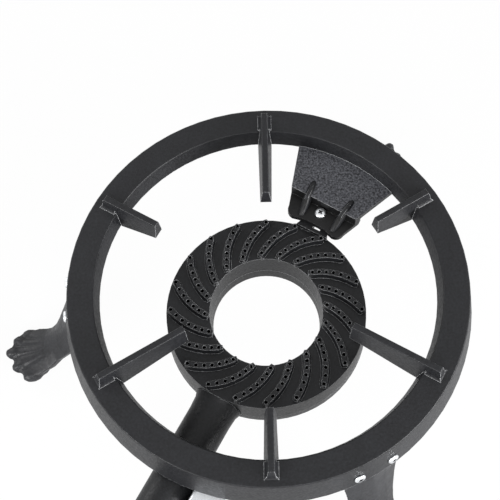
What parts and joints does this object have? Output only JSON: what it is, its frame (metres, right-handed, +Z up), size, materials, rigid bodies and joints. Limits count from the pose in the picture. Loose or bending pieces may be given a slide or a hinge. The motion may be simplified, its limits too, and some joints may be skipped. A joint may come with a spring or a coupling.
{
  "type": "propane burner stand",
  "caption": "Cast-iron propane burner stand: a pot ring with inward prongs on bowed paw-foot legs, carrying a swirl-port burner with side mixer tube and air shutter.",
  "frame": {"origin": "on the floor under the middle of the stand's outline", "axes": "+Z up; +Y towards the rear, the stand's longest extent, with the mixer tube's mouth at the -Y side; -X towards the left leg"},
  "size_m": [0.5086, 0.536, 0.214],
  "materials": {
    "black_painted_cast_iron": "matte",
    "zinc_plated_steel": "satin",
    "brass": "satin",
    "spring_steel": "satin"
  },
  "bodies": {
    "stand": {"ring_frame": "black_painted_cast_iron", "leg_left": "black_painted_cast_iron", "leg_front": "black_painted_cast_iron", "leg_rear": "black_painted_cast_iron", "leg_left_screw_1": "zinc_plated_steel", "leg_left_screw_2": "zinc_plated_steel", "leg_front_screw_1": "zinc_plated_steel", "leg_front_screw_2": "zinc_plated_steel", "leg_rear_screw_1": "zinc_plated_steel", "leg_rear_screw_2": "zinc_plated_steel", "leg_left_nut_1": "zinc_plated_steel", "leg_left_nut_2": "zinc_plated_steel", "leg_front_nut_1": "zinc_plated_steel", "leg_front_nut_2": "zinc_plated_steel", "leg_rear_nut_1": "zinc_plated_steel", "leg_rear_nut_2": "zinc_plated_steel", "burner_head": "black_painted_cast_iron", "burner_base": "black_painted_cast_iron", "burner_base_screw_1": "zinc_plated_steel", "burner_base_screw_2": "zinc_plated_steel", "burner_base_screw_3": "zinc_plated_steel", "burner_base_screw_4": "zinc_plated_steel", "tongue_screw": "zinc_plated_steel", "tongue_washer": "zinc_plated_steel", "tongue_nut": "zinc_plated_steel", "tube_hanger": "zinc_plated_steel", "hanger_screw_1": "zinc_plated_steel", "hanger_screw_2": "zinc_plated_steel", "mouth_plate": "black_painted_cast_iron", "mouth_plate_screw_1": "zinc_plated_steel", "mouth_plate_screw_2": "zinc_plated_steel", "mouth_plate_screw_3": "zinc_plated_steel", "orifice_holder": "brass", "gas_jet": "brass", "shutter_spring": "spring_steel"},
    "shutter": {"air_shutter": "zinc_plated_steel"}
  },
  "joints": [
    {"name": "air_shutter_turn", "type": "hinge", "parent": "stand", "child": "shutter", "pos_m": [-0.08571, -0.23359, 0.132], "axis": [-0.4955, -0.8686, 0], "range_deg": [-22.5, 22.5]}
  ]
}
